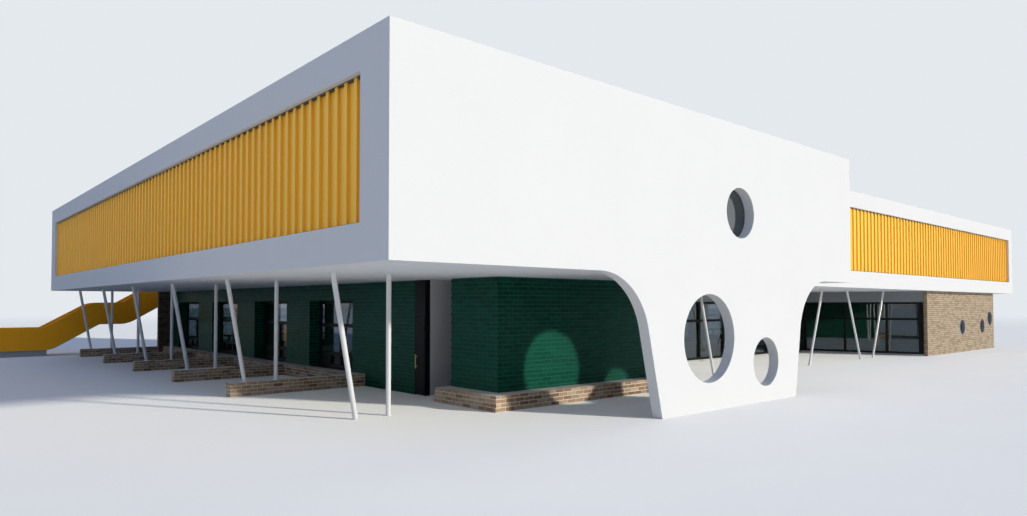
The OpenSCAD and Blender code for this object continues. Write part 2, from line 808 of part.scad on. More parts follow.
module stair_side_plates()
    color("orange") plan() {
        side_plate(near_end_x, stair_y[0] - plate_t);
        side_plate(top_end_x, stair_y[1]);
    }

// Side panels of the top landing, between the side plates and the far end wall.
module stair_landing_panels()
    color("orange") plan()
        for (p = [[near_end_x - plate_t, stair_y[0] - plate_t], [top_end_x, stair_y[1] + plate_t]])
            slab([p.x, p.x + plate_t], [main_l, p.y],
                [plate_z2 - plate_depth / 2, plate_z2 + plate_depth / 2]);

// Treads of one flight, each held between the side plates.
module flight(x, z, rise, run, risers)
    for (i = [1:risers - 1])
        slab([x + (i - 1) * run / risers, x + i * run / risers], stair_y,
            [z + i * rise / risers - tread_t, z + i * rise / risers]);

module stair_treads()
    color("lightgray") plan() {
        flight(climb_x + walk_shift, base_level, mid_level - base_level, climb_1, lower_risers);
        flight(climb_x2 + walk_shift, mid_level, floor_z - mid_level, climb_2, upper_risers);
    }

module stair_landings()
    color("lightgray") plan() {
        slab([base_x0, climb_x + walk_shift], stair_y, [base_level - landing_t, base_level]);
        slab([mid_x + walk_shift, climb_x2 + walk_shift], stair_y,
            [mid_level - landing_t, mid_level]);
        slab([top_walk_x, top_end_x], stair_y, [floor_z - landing_t, floor_z]);
        slab([near_end_x, top_end_x], [main_l, stair_y[1]], [floor_z - landing_t, floor_z]);
    }

// Plinth under the lower platform, with two entry steps at its open end.
module stair_plinth()
    color("lightgray") plan() {
        slab([base_x0, climb_x], stair_y, [0, base_level - landing_t]);
        for (i = [1, 2])
            slab([base_x0 - (3 - i) * entry_going, base_x0 - (2 - i) * entry_going], stair_y,
                [0, i * base_level / 3]);
    }

module stair_posts()
    color("white") plan()
        for (x = [top_walk_x + 2 * post_r, top_end_x - 2 * post_r])
            translate([x, stair_y[1] - 2 * post_r, 0])
                cylinder(r = post_r, h = floor_z - landing_t, $fn = 32);

module upper_door()
    color("black") plan()
        slab([upper_door_x, upper_door_x + upper_door_w],
            [main_y[1] + frame_d, main_y[1] + 2 * frame_d], [floor_z, floor_z + upper_door_h]);

end_wall();
left_wall();
left_cladding();
far_wall();
side_walls();
court_cladding();
wing_front_wall();
wing_front_cladding();
wing_end_wall();
wing_back_wall();
upper_floor();
roof_deck();
round_window_rings();
round_glass();
green_front();
green_block();
grey_return_wall();
entrance_screen();
window_frames();
window_glass();
service_frame();
service_door();
service_handle();
far_brick_wall();
court_side_wall();
court_back_wall();
glazed_wall_frame();
glazed_wall_glass();
glazing_bulkhead();
room_front_wall();
room_side_wall();
ground_floor();
sill_wall();
corner_seat();
cross_walls();
upright_columns();
slanted_columns();
wing_columns();
stair_side_plates();
stair_landing_panels();
stair_treads();
stair_landings();
stair_plinth();
stair_posts();
upper_door();
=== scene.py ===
import math
import random

import bpy
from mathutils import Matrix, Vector


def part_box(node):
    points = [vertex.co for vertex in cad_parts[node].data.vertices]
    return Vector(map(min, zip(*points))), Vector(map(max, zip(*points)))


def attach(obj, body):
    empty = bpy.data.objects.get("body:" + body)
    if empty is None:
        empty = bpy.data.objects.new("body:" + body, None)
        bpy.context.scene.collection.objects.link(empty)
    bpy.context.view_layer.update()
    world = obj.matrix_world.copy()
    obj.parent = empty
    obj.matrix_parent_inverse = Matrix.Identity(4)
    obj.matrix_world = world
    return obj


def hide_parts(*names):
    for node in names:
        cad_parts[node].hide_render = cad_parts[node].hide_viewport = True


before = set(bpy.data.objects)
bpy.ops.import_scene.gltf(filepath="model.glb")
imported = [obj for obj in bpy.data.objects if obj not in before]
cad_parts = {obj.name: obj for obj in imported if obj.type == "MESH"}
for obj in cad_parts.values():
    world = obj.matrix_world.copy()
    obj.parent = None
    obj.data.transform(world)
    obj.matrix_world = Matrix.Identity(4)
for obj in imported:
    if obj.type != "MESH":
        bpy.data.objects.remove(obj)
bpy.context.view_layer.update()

UP = Vector((0, 0, 1))
dice = random.Random(7)

# Bricks: length and height with their joint, and the widths of the level and upright joints
GREEN = {"length": 0.1975, "course": 0.066, "joint": 0.010, "perpend": 0.010}
FACING = {"length": 0.18, "course": 0.06, "joint": 0.010, "perpend": 0.009}
RAKED = {"length": 0.18, "course": 0.06, "joint": 0.013, "perpend": 0.004}
# How far a brick stands out, how far it reaches in, its worn edge and the shortest one laid
BRICK_PROUD = 0.003
BRICK_ROOT = 0.0005
BRICK_EDGE = 0.0022
SHORTEST_CUT = 0.012
# Walls take the tones below the first number, copings the tones above the second
WALL_TONES, COPING_TONE = 0.85, 0.95
# The joint in the middle of a wide coping
COPING_SPLIT = (0.096, 0.104)

# Cladding: rib spacing, width of a rib's face, its depth and the run of its sides
RIB_PITCH = 0.2088
RIB_FACE = 0.062
RIB_DEPTH = 0.030
RIB_SIDE = 0.004
RIB_EDGE = 0.002

# Painted shade: dark strips at the panels' heads and feet, how far they stay behind the ribs' faces,
# and the height of the dark blocks at the valleys' tops
SHADE_STRIP_HEAD = 0.012
SHADE_STRIP_FOOT = 0.018
SHADE_STRIP_BACK = 0.004
SHADE_NOTCH_TALL = 0.014

# Sides of round holes and rings, of columns, of small turned pieces and of nuts
ROUND_SIDES, COLUMN_SIDES, TURNED_SIDES, LOCK_SIDES, NUT_SIDES = 64, 40, 32, 24, 6
SHARP_ANGLE = math.radians(35)

# Lamp
SUN_TRAVEL = Vector((-0.489, 1.0, -0.261))
SUN_STRENGTH = 2.58
SUN_ANGLE = math.radians(2.5)
SUN_COLOUR = (1.0, 0.96, 0.86)
# Fill from the world: its level, and how it grows towards the left, the front and the top
FILL_COLOUR = (0.20, 0.265, 0.405)
FILL_LEVEL = 0.12
FILL_SLOPE = (-0.35, 0.1, 1.6)
# What gloss shows of the backdrop at the horizon and above the given rise
BACKDROP = (0.78, 0.815, 0.855)
GLOSS_LOW, GLOSS_HIGH, GLOSS_RISE = 0.3, 1.1, 0.06

# Floor: its least share of plain backdrop, the tilt that lets it take more sun, and what is left
# of it in the light that it throws back and in mirror images
FLOOR_LIFT = 0.05
FLOOR_RELIEF = (0.22, -0.45, 0.87)
FLOOR_BOUNCE = (0.71, 0.71, 0.70)
FLOOR_GLOSS = (0.40, 0.48, 0.54)
FLOOR_HALF = 400
FLOOR_DROP = 0.001
FADE_START, FADE_END = 30.0, 120.0


# Shapes

def linked(name, data):
    """A new object in the scene."""
    made = bpy.data.objects.new(name, data)
    bpy.context.scene.collection.objects.link(made)
    return made


class Shape:
    """Points and faces gathered for one piece. Each face has a tone that its material reads."""

    def __init__(self):
        self.points, self.faces, self.tones, self.smooth = [], [], [], []

    def add(self, points, faces, tone=0.5, smooth=False):
        base = len(self.points)
        self.points.extend(tuple(p) for p in points)
        self.faces.extend([base + i for i in face] for face in faces)
        self.tones.extend([tone] * len(faces))
        self.smooth.extend([smooth] * len(faces))

    def build(self, name, paint, slot, body="building", replaces=()):
        mesh = bpy.data.meshes.new(name)
        mesh.from_pydata(self.points, [], self.faces)
        tone = mesh.attributes.new("tone", "FLOAT", "FACE")
        tone.data.foreach_set("value", self.tones)
        mesh.polygons.foreach_set("use_smooth", self.smooth)
        mesh.materials.append(paint)
        mesh.update()
        piece = linked(name, mesh)
        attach(piece, body)
        if replaces:
            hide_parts(*replaces)
        return piece


BOX_FACES = ((0, 2, 3, 1), (4, 5, 7, 6), (0, 1, 5, 4), (2, 6, 7, 3), (0, 4, 6, 2), (1, 3, 7, 5))


def oriented_block(shape, origin, axes, size, edge=0.001):
    """A box with chamfered edges, from one corner along three axes."""
    points, groups = [], {}
    for corner in range(8):
        high = [corner & 1, corner >> 1 & 1, corner >> 2 & 1]
        for kept in range(3):
            place = [size[i] * high[i] + (0 if i == kept else edge * (1 - 2 * high[i]))
                     for i in range(3)]
            groups[corner, kept] = len(points)
            points.append(Vector(origin) + sum((axes[i] * place[i] for i in range(3)), Vector()))
    faces = []
    for kept in range(3):
        one, two = [i for i in range(3) if i != kept]
        for side in (0, 1):
            ring = [(side << kept) | (a << one) | (b << two)
                    for a, b in ((0, 0), (1, 0), (1, 1), (0, 1))]
            face = [groups[c, kept] for c in ring]
            outward = axes[one].cross(axes[two]).dot(axes[kept]) > 0
            faces.append(face if outward == bool(side) else face[::-1])
    centre = sum(points, Vector()) / len(points)
    for kept in range(3):
        one, two = [i for i in range(3) if i != kept]
        for a in (0, 1):
            for b in (0, 1):
                low = (a << one) | (b << two)
                high = low | (1 << kept)
                faces.append([groups[low, one], groups[high, one], groups[high, two],
                              groups[low, two]])
    faces.extend([groups[c, 0], groups[c, 1], groups[c, 2]] for c in range(8))
    for i in range(6, len(faces)):
        a, b, c = [points[k] for k in faces[i][:3]]
        if (b - a).cross(c - b).dot(a - centre) < 0:
            faces[i] = faces[i][::-1]
    shape.add(points, faces)


def block(shape, low, high, edge=0.001):
    """A box with chamfered edges between two corners."""
    low, high = Vector(low), Vector(high)
    axes = (Vector((1, 0, 0)), Vector((0, 1, 0)), UP)
    oriented_block(shape, low, axes, high - low, edge)


def ring_faces(rings, count, closed=False):
    """Faces between rings of the same count of points, from each ring to the next."""
    faces = []
    for k in range(rings if closed else rings - 1):
        low, high = k * count, (k + 1) % rings * count
        for i in range(count):
            j = (i + 1) % count
            faces.append([low + i, low + j, high + j, high + i])
    return faces


def end_faces(rings, count):
    """Faces that close the first and the last ring."""
    return [list(range(count))[::-1], list(range((rings - 1) * count, rings * count))]


def lathe(shape, base, axis, profile, sides):
    """Turns a profile of (radius, height) round an axis. A radius of 0 closes an end."""
    axis = Vector(axis).normalized()
    side = axis.orthogonal().normalized()
    across = axis.cross(side)
    points, rings = [], []
    for radius, height in profile:
        middle = Vector(base) + axis * height
        if radius == 0:
            rings.append([len(points)])
            points.append(middle)
            continue
        rings.append(list(range(len(points), len(points) + sides)))
        for i in range(sides):
            turn = 2 * math.pi * i / sides
            points.append(middle + radius * (math.cos(turn) * side + math.sin(turn) * across))
    faces = []
    for lower, upper in zip(rings, rings[1:]):
        for i in range(sides):
            j = (i + 1) % sides
            if len(lower) == 1:
                faces.append([lower[0], upper[j], upper[i]])
            elif len(upper) == 1:
                faces.append([lower[i], lower[j], upper[0]])
            else:
                faces.append([lower[i], lower[j], upper[j], upper[i]])
    shape.add(points, faces, smooth=True)


def extrude(shape, section, start, travel, out, side):
    """Runs a section of (along out, along side) points down a straight travel."""
    first = [start + out * a + side * b for a, b in section]
    points = first + [p + travel for p in first]
    count = len(section)
    shape.add(points, ring_faces(2, count) + end_faces(2, count))


def smooth_by_angle(piece):
    """Shades a piece smooth, with its sharp edges kept."""
    mesh = piece.data
    mesh.polygons.foreach_set("use_smooth", [True] * len(mesh.polygons))
    mesh.set_sharp_from_angle(angle=SHARP_ANGLE)


# What the CAD says

def merged(node):
    """A CAD node's points with doubles merged, and its faces and their normals."""
    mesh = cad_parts[node].data
    known, points, place = {}, [], []
    for v in mesh.vertices:
        key = tuple(round(c, 5) for c in v.co)
        if key not in known:
            known[key] = len(points)
            points.append(Vector(key))
        place.append(known[key])
    faces = [([place[i] for i in p.vertices], p.normal.copy()) for p in mesh.polygons]
    return points, faces


def solids(node):
    """The separate solids of a CAD node, each as a list of its points."""
    points, faces = merged(node)
    parent = list(range(len(points)))

    def root(i):
        while parent[i] != i:
            parent[i] = parent[parent[i]]
            i = parent[i]
        return i

    for face, _ in faces:
        for i in face[1:]:
            parent[root(i)] = root(face[0])
    groups = {}
    for i, p in enumerate(points):
        groups.setdefault(root(i), []).append(p)
    return sorted(groups.values(),
                  key=lambda g: (round(min(p.y for p in g), 3), min(p.x for p in g)))


def box_of(points):
    """The lowest and highest corner of a box round points."""
    return (Vector([min(p[i] for p in points) for i in range(3)]),
            Vector([max(p[i] for p in points) for i in range(3)]))


def loops(node, normal):
    """Outlines of a node's flat faces that look along a normal, as (points, is it a hole)."""
    points, faces = merged(node)
    following = {}
    for face, facing in faces:
        if facing.dot(normal) > 0.9999:
            for a, b in zip(face, face[1:] + face[:1]):
                following[a, b] = True
    edge = {}
    for a, b in following:
        if (b, a) not in following:
            edge.setdefault(a, []).append(b)
    found = []
    while edge:
        start = next(iter(edge))
        loop, here = [], start
        while here in edge:
            loop.append(here)
            onward = edge[here].pop()
            if not edge[here]:
                del edge[here]
            here = onward
        ring = [points[i] for i in loop]
        area = sum((a.cross(b) for a, b in zip(ring, ring[1:] + ring[:1])), Vector())
        found.append((ring, area.dot(normal) < 0))
    return found


def slant_of(node):
    """The normal of a node's widest upright face that looks outwards, askew to the axes."""
    widest, best = 0, None
    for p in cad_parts[node].data.polygons:
        n = p.normal
        askew = abs(n.z) < 0.01 and n.x < -0.1 and min(abs(n.x), abs(n.y)) > 0.05
        if askew and p.area > widest:
            widest, best = p.area, n.copy()
    return best


# Materials

def plug(tree, socket, value):
    """Feeds a socket from another socket, or sets its value."""
    if isinstance(value, bpy.types.NodeSocket):
        tree.links.new(value, socket)
    elif socket.type == "RGBA":
        socket.default_value = (*value, 1)
    else:
        socket.default_value = value


def add_node(tree, kind, settings=None, feeds=(), **inputs):
    """A new node. Feeds go to its inputs in their order, the others by name."""
    made = tree.nodes.new(kind)
    for key, value in (settings or {}).items():
        setattr(made, key, value)
    for socket, value in zip(made.inputs, feeds):
        plug(tree, socket, value)
    for key, value in inputs.items():
        plug(tree, made.inputs[key.replace("_", " ")], value)
    return made


def calc(tree, operation, *values):
    """The result of a math node."""
    return add_node(tree, "ShaderNodeMath", {"operation": operation}, values).outputs[0]


def smooth_range(tree, value, start, end, low=0.0, high=1.0):
    """A value that eases from low to high while another goes from start to end."""
    return add_node(tree, "ShaderNodeMapRange", {"interpolation_type": "SMOOTHSTEP"}, Value=value,
                    From_Min=start, From_Max=end, To_Min=low, To_Max=high).outputs["Result"]


class Paint:
    """One material's nodes, round its Principled shader."""

    def __init__(self, name, **values):
        self.material = bpy.data.materials.new(name)
        self.material.use_nodes = True
        self.tree = self.material.node_tree
        self.shader = self.tree.nodes["Principled BSDF"]
        for key, value in values.items():
            self.shader.inputs[key.replace("_", " ")].default_value = value
        self.place = self.node("ShaderNodeTexCoord").outputs["Object"]

    def node(self, kind, settings=None, feeds=(), **inputs):
        return add_node(self.tree, kind, settings, feeds, **inputs)

    def noise(self, scale, detail=3.0, roughness=0.55, stretch=(1, 1, 1)):
        spot = self.node("ShaderNodeMapping", Vector=self.place, Scale=stretch).outputs[0]
        return self.node("ShaderNodeTexNoise", Vector=spot, Scale=scale, Detail=detail,
                         Roughness=roughness).outputs["Fac"]

    def flecks(self, scale, detail, dark, low=0.3, high=0.7):
        """Noise as a grey between a dark value and white."""
        return self.ramp(self.noise(scale, detail), ((low, (dark,) * 3), (high, (1.0,) * 3)))

    def tone(self):
        return self.node("ShaderNodeAttribute", {"attribute_name": "tone"}).outputs["Fac"]

    def ramp(self, factor, stops):
        made = self.node("ShaderNodeValToRGB", Fac=factor)
        marks = made.color_ramp.elements
        while len(marks) < len(stops):
            marks.new(0.5)
        for mark, (position, colour) in zip(marks, stops):
            mark.position = position
            mark.color = (*colour, 1)
        return made.outputs["Color"]

    def blend(self, factor, one, two, mode="MIX"):
        made = self.node("ShaderNodeMix", {"data_type": "RGBA", "blend_type": mode})
        for place, value in ((0, factor), (6, one), (7, two)):
            plug(self.tree, made.inputs[place], value)
        return made.outputs[2]

    def spread(self, factor, low, high):
        return self.node("ShaderNodeMapRange", Value=factor, To_Min=low,
                         To_Max=high).outputs["Result"]

    def bump(self, height, strength, distance, under=None):
        made = self.node("ShaderNodeBump", Height=height, Strength=strength, Distance=distance)
        if under:
            self.tree.links.new(under, made.inputs["Normal"])
        return made.outputs["Normal"]

    def feed(self, **sources):
        for key, value in sources.items():
            self.tree.links.new(value, self.shader.inputs[key.replace("_", " ")])
        return self.material


def render_coat(name, colour, change=0.03, relief=0.12, roughness=0.8):
    """Painted render or cast concrete: a fine grain under soft clouds of tone."""
    paint = Paint(name, Roughness=roughness)
    grain = 180.0
    dark = tuple(c * (1 - 2 * change) for c in colour)
    light = tuple(min(1, c * (1 + change)) for c in colour)
    clouds = paint.ramp(paint.noise(0.9, 4), ((0.3, dark), (0.7, light)))
    body = paint.blend(0.6, clouds, paint.flecks(grain, 2, 0.94), "MULTIPLY")
    lumps = paint.bump(paint.noise(9.0, 3), relief, 0.004)
    grains = paint.bump(paint.noise(grain, 3), relief * 1.5, 0.001, lumps)
    rough = paint.spread(paint.noise(14.0), roughness - 0.08, roughness + 0.08)
    return paint.feed(Base_Color=body, Normal=grains, Roughness=rough)


def coated_metal(name, colour, roughness=0.38, change=0.05, waves=0.05, **values):
    """Coated sheet or tube: even colour, faint rain streaks, slight waves in the surface."""
    paint = Paint(name, Roughness=roughness, **values)
    dark = tuple(c * (1 - 2 * change) for c in colour)
    streaks = paint.noise(7.0, 3, stretch=(1, 1, 0.08))
    body = paint.ramp(streaks, ((0.30, dark), (0.55, colour)))
    orange_peel = paint.bump(paint.noise(420.0, 1), 0.05, 0.0006)
    wave = paint.bump(paint.noise(2.2, 1, stretch=(1, 1, 0.6)), waves, 0.02, orange_peel)
    rough = paint.spread(paint.noise(11.0), roughness - 0.05, roughness + 0.09)
    return paint.feed(Base_Color=body, Normal=wave, Roughness=rough)


def face_brick(name, stops):
    """Fired bricks: each its own tone, with sand specks, pits and darker fire marks."""
    paint = Paint(name, Roughness=0.78)
    each = paint.ramp(paint.tone(), stops)
    specks = paint.flecks(260.0, 2, 0.62, 0.35, 0.6)
    marks = paint.flecks(22.0, 3, 0.72, high=0.62)
    body = paint.blend(0.35, each, specks, "MULTIPLY")
    body = paint.blend(0.55, body, marks, "MULTIPLY")
    pits = paint.bump(paint.noise(240.0, 4), 0.35, 0.0012)
    return paint.feed(Base_Color=body, Normal=paint.bump(paint.noise(30.0), 0.3, 0.002, pits))


def glazed_brick():
    """Dark green glaze that pools thinner at random, with a wavy gloss."""
    paint = Paint("green_glaze", Roughness=0.45, Coat_Weight=0.09, Coat_Roughness=0.03,
                  Specular_IOR_Level=0.45, Specular_Tint=(0.05, 1.0, 0.60, 1))
    each = paint.ramp(paint.tone(), ((0.0, (0.0003, 0.016, 0.009)), (0.45, (0.0005, 0.028, 0.016)),
                                     (0.85, (0.001, 0.046, 0.026))))
    body = paint.blend(0.6, each, paint.flecks(34.0, 3, 0.75), "MULTIPLY")
    body = paint.blend(0.5, body, paint.flecks(300.0, 1, 0.4, 0.26, 0.34), "MULTIPLY")
    wave = paint.bump(paint.noise(26.0, 2), 0.05, 0.003)
    rough = paint.spread(paint.noise(60.0), 0.40, 0.50)
    return paint.feed(Base_Color=body, Normal=wave, Roughness=rough)


def mortar(name, colour):
    """Sandy joints."""
    paint = Paint(name, Roughness=0.92)
    dark = tuple(c * 0.7 for c in colour)
    body = paint.ramp(paint.noise(150.0, 4), ((0.3, dark), (0.65, colour)))
    return paint.feed(Base_Color=body, Normal=paint.bump(paint.noise(320.0, 3), 0.5, 0.0012))


def clear_glass(name, coat_ior):
    """Grey-tinted glass that is very slightly wavy."""
    paint = Paint(name, Roughness=0.01, IOR=1.45, Transmission_Weight=1.0, Coat_Weight=1.0,
                  Coat_IOR=coat_ior, Coat_Roughness=0.0)
    tint = paint.ramp(paint.noise(1.3, 2), ((0.3, (0.40, 0.45, 0.48)), (0.7, (0.46, 0.51, 0.54))))
    return paint.feed(Base_Color=tint, Normal=paint.bump(paint.noise(1.7, 1), 0.02, 0.01))


def brushed_brass():
    """Brass with fine upright brush marks."""
    paint = Paint("brass", Metallic=1.0, Roughness=0.3)
    body = paint.ramp(paint.noise(60.0, 3, stretch=(1, 1, 0.1)),
                      ((0.3, (0.48, 0.33, 0.11)), (0.7, (0.76, 0.57, 0.24))))
    rough = paint.spread(paint.noise(90.0, 2, stretch=(1, 1, 0.1)), 0.22, 0.42)
    return paint.feed(Base_Color=body, Roughness=rough)


def sheet_membrane():
    """Roof sheet with dust clouds and a fine grit."""
    paint = Paint("roof_sheet", Roughness=0.88)
    clouds = paint.ramp(paint.noise(0.8, 5, 0.6), ((0.3, (0.21, 0.215, 0.22)),
                                                   (0.7, (0.27, 0.275, 0.28))))
    body = paint.blend(0.7, clouds, paint.flecks(300.0, 2, 0.8), "MULTIPLY")
    return paint.feed(Base_Color=body, Normal=paint.bump(paint.noise(260.0, 3), 0.4, 0.001))


WHITE = render_coat("white_render", (0.87, 0.87, 0.875), change=0.006)
SOFFIT = render_coat("soffit_paint", (0.88, 0.90, 0.95), change=0.01, relief=0.06)
GREY = render_coat("grey_render", (0.28, 0.30, 0.32), change=0.03)
PALE_GREY = render_coat("pale_grey_render", (0.70, 0.69, 0.73), change=0.03)
CONCRETE = render_coat("concrete", (0.52, 0.52, 0.51), change=0.09, relief=0.2, roughness=0.7)
YELLOW = coated_metal("yellow_cladding", (0.98, 0.56, 0.05), roughness=0.5, change=0.015,
                      waves=0.08, Metallic=0.5, Specular_IOR_Level=1.0)
PLATE = coated_metal("yellow_steel", (1.0, 0.46, 0.014), roughness=0.6, change=0.01,
                     Metallic=0.5, Specular_IOR_Level=0.4)
# Dark paint for the strips and blocks that paint shade at the cladding's head and foot
PAINTED_SHADE = coated_metal("painted_shade_strip", (0.085, 0.06, 0.035), roughness=0.5, change=0.1)
EDGE_STEEL = coated_metal("edge_steel", (0.36, 0.36, 0.37), roughness=0.4)
TUBE = coated_metal("white_steel", (0.85, 0.85, 0.855), roughness=0.35, change=0.01,
                    Coat_Weight=0.5, Coat_Roughness=0.12)
BLACK = coated_metal("black_frame", (0.010, 0.010, 0.011), roughness=0.34, change=0.15,
                     Specular_IOR_Level=0.15)
RING = coated_metal("ring_frame", (0.10, 0.12, 0.15), roughness=0.4, change=0.1)
RUBBER = coated_metal("gasket", (0.02, 0.02, 0.02), roughness=0.7)
CAPPING = coated_metal("capping", (0.78, 0.78, 0.79), roughness=0.35)
GREEN_GLAZE = glazed_brick()
GREEN_MORTAR = mortar("green_mortar", (0.012, 0.14, 0.095))
BUFF = face_brick("buff_brick", ((0.0, (0.22, 0.12, 0.065)), (0.22, (0.41, 0.24, 0.135)),
                                 (0.45, (0.53, 0.36, 0.21)), (0.6, (0.44, 0.33, 0.20)),
                                 (0.8, (0.66, 0.46, 0.30)), (COPING_TONE, (0.70, 0.64, 0.61))))
BROWN = face_brick("brown_brick", ((0.0, (0.085, 0.055, 0.035)), (0.5, (0.13, 0.09, 0.055)),
                                   (1.0, (0.19, 0.135, 0.085))))
TAN = face_brick("tan_brick", ((0.0, (0.40, 0.28, 0.18)), (0.35, (0.52, 0.40, 0.27)),
                               (0.7, (0.62, 0.49, 0.34)), (1.0, (0.50, 0.41, 0.32))))
PALE_MORTAR = mortar("pale_mortar", (0.92, 0.86, 0.77))
DARK_MORTAR = mortar("dark_mortar", (0.20, 0.17, 0.14))
# The tan room's mortar: its own colour, darkened further to paint the shade in its raked joints
TAN_MORTAR = mortar("tan_mortar", (0.26, 0.20, 0.14))
GLASS = clear_glass("grey_glass", 1.85)
ROUND_GLASS = clear_glass("round_grey_glass", 1.6)
BRASS = brushed_brass()
MEMBRANE = sheet_membrane()

NODE_PAINT = {
    WHITE: ("end_wall", "left_wall", "far_wall", "side_walls", "wing_front_wall",
            "wing_end_wall", "wing_back_wall"),
    SOFFIT: ("upper_floor",),
    MEMBRANE: ("roof_deck",),
    RING: ("round_window_rings",),
    BLACK: ("entrance_screen", "window_frames", "service_frame",
            "service_door", "glazed_wall_frame", "upper_door"),
    GLASS: ("window_glass", "glazed_wall_glass"),
    ROUND_GLASS: ("round_glass",),
    GREEN_MORTAR: ("green_front", "green_block", "court_side_wall", "court_back_wall"),
    GREY: ("glazing_bulkhead",),
    PALE_GREY: ("grey_return_wall",),
    DARK_MORTAR: ("far_brick_wall",),
    TAN_MORTAR: ("room_front_wall", "room_side_wall"),
    PALE_MORTAR: ("sill_wall", "corner_seat", "cross_walls"),
    CONCRETE: ("ground_floor", "stair_treads", "stair_landings", "stair_plinth"),
    PLATE: ("stair_side_plates", "stair_landing_panels"),
}
for paint, names in NODE_PAINT.items():
    for name in names:
        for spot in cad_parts[name].material_slots:
            spot.material = paint


# Bricks

def brick(shape, origin, along, across, out, span, rise, tone=None):
    """One closed brick with worn edges, proud of its wall, over a span and a rise."""
    tone = dice.random() * WALL_TONES if tone is None else tone
    levels = ((-BRICK_ROOT, 0), (BRICK_PROUD - BRICK_EDGE, 0), (BRICK_PROUD, BRICK_EDGE))
    points = []
    for height, inset in levels:
        for a, b in ((span[0] + inset, rise[0] + inset), (span[1] - inset, rise[0] + inset),
                     (span[1] - inset, rise[1] - inset), (span[0] + inset, rise[1] - inset)):
            points.append(origin + along * a + across * b + out * height)
    shape.add(points, ring_faces(3, 4) + [[8, 9, 10, 11], [3, 2, 1, 0]], tone)


def left_over(start, end, cuts):
    """What is left of an interval once the cuts are taken out."""
    parts = [(start, end)]
    for a, b in cuts:
        halves = [(p[0], min(p[1], a)) for p in parts] + [(max(p[0], b), p[1]) for p in parts]
        parts = [h for h in halves if h[1] - h[0] > SHORTEST_CUT]
    return parts


def brickwork(shape, kind, origin, along, length, low, high, holes=()):
    """Running bond over an upright face. A hole is (from, to, bottom, top) on that face."""
    origin, along = Vector(origin), Vector(along)
    out = along.cross(UP)
    joint, perpend = kind["joint"] / 2, kind["perpend"] / 2
    for row in range(math.floor(low / kind["course"]), math.ceil(high / kind["course"])):
        bottom = max(low, row * kind["course"] + joint)
        top = min(high, (row + 1) * kind["course"] - joint)
        levels = sorted({bottom, top, *[z for h in holes for z in h[2:] if bottom < z < top]})
        for z0, z1 in zip(levels, levels[1:]):
            if z1 - z0 < SHORTEST_CUT:
                continue
            cuts = [h[:2] for h in holes if h[2] < (z0 + z1) / 2 < h[3]]
            start = -kind["length"] * (0.5 if row % 2 else 1.0)
            while start < length:
                first = max(0, start + perpend)
                last = min(length, start + kind["length"] - perpend)
                for span in left_over(first, last, cuts):
                    brick(shape, origin, along, UP, out, span, (z0, z1))
                start += kind["length"]


def coping(shape, kind, origin, along, length, rows):
    """Bricks laid across a wall's top, over rows of (from, to) across it."""
    origin, along = Vector(origin), Vector(along)
    across = UP.cross(along)
    pitch = length / round(length / kind["course"])
    for i in range(round(length / pitch)):
        span = (i * pitch + kind["joint"] / 2, (i + 1) * pitch - kind["joint"] / 2)
        for rise in rows:
            brick(shape, origin, along, across, UP, span, rise, dice.uniform(COPING_TONE, 1))


def wall_face(shape, kind, low, high, facing, grow=(1, 1), holes=(), reveal=0.0):
    """Brickwork over one side of a box. Window boxes become holes with brick reveals."""
    out = Vector(facing)
    along = UP.cross(out)
    plane = max(low.dot(out), high.dot(out))
    ends = [Vector([(a if way >= 0 else b) for a, b, way in zip(one, other, along)][:2] + [0])
            for one, other in ((low, high), (high, low))]
    origin, end = [p - out * (p.dot(out) - plane) for p in ends]
    start_grow, end_grow = [BRICK_PROUD * g for g in grow]
    length = (end - origin).length + start_grow + end_grow
    origin = origin - along * start_grow
    cuts = []
    for a, b in holes:
        near, far = sorted(((a - origin).dot(along), (b - origin).dot(along)))
        cuts.append((near, far, a.z, b.z))
    brickwork(shape, kind, origin, along, length, low.z, high.z, cuts)
    if reveal:
        for near, far, bottom, top in cuts:
            outer = origin + along * near + out * BRICK_PROUD
            inner = origin + along * far - out * reveal
            deep = reveal + BRICK_PROUD
            brickwork(shape, kind, outer, -out, deep, bottom, top)
            brickwork(shape, kind, inner, out, deep, bottom, top)


windows = [box_of(s) for s in solids("window_frames")]


def windows_in(node):
    """The window boxes that lie inside a wall."""
    low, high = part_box(node)
    slack = Vector((0.02, 0.02, 0.02))
    return [w for w in windows
            if all(low[i] - slack[i] < w[0][i] and w[1][i] < high[i] + slack[i] for i in range(3))]


FRONT, BACK, LEFT, RIGHT = (0, -1, 0), (0, 1, 0), (-1, 0, 0), (1, 0, 0)


def green_walls():
    """Glazed bricks on the front, the corner block and the court side."""
    low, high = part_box("green_front")
    found = windows_in("green_front")
    shape = Shape()
    wall_face(shape, GREEN, low, high, LEFT, (0, 0), found, found[0][0].x - low.x)
    shape.build("green_front_bricks", GREEN_GLAZE, "green_glazed_brick")

    low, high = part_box("green_block")
    screen_low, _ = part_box("entrance_screen")
    glazing_low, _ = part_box("glazed_wall_frame")
    shape = Shape()
    wall_face(shape, GREEN, low, high, FRONT)
    wall_face(shape, GREEN, low, Vector((high.x, screen_low.y, high.z)), LEFT)
    wall_face(shape, GREEN, low, Vector((high.x, glazing_low.y, high.z)), RIGHT, (1, 0))
    brickwork(shape, GREEN, (screen_low.x, screen_low.y, 0), LEFT,
              screen_low.x - low.x + BRICK_PROUD, 0, high.z)
    shape.build("green_block_bricks", GREEN_GLAZE, "green_glazed_brick")

    shape = Shape()
    for node, facing in (("court_side_wall", RIGHT), ("court_back_wall", BACK)):
        low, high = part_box(node)
        found = windows_in(node)
        depth = max((corner - found[0][1]).dot(Vector(facing)) for corner in (low, high))
        wall_face(shape, GREEN, low, high, facing, (0, 0), found, depth)
    shape.build("court_bricks", GREEN_GLAZE, "green_glazed_brick")


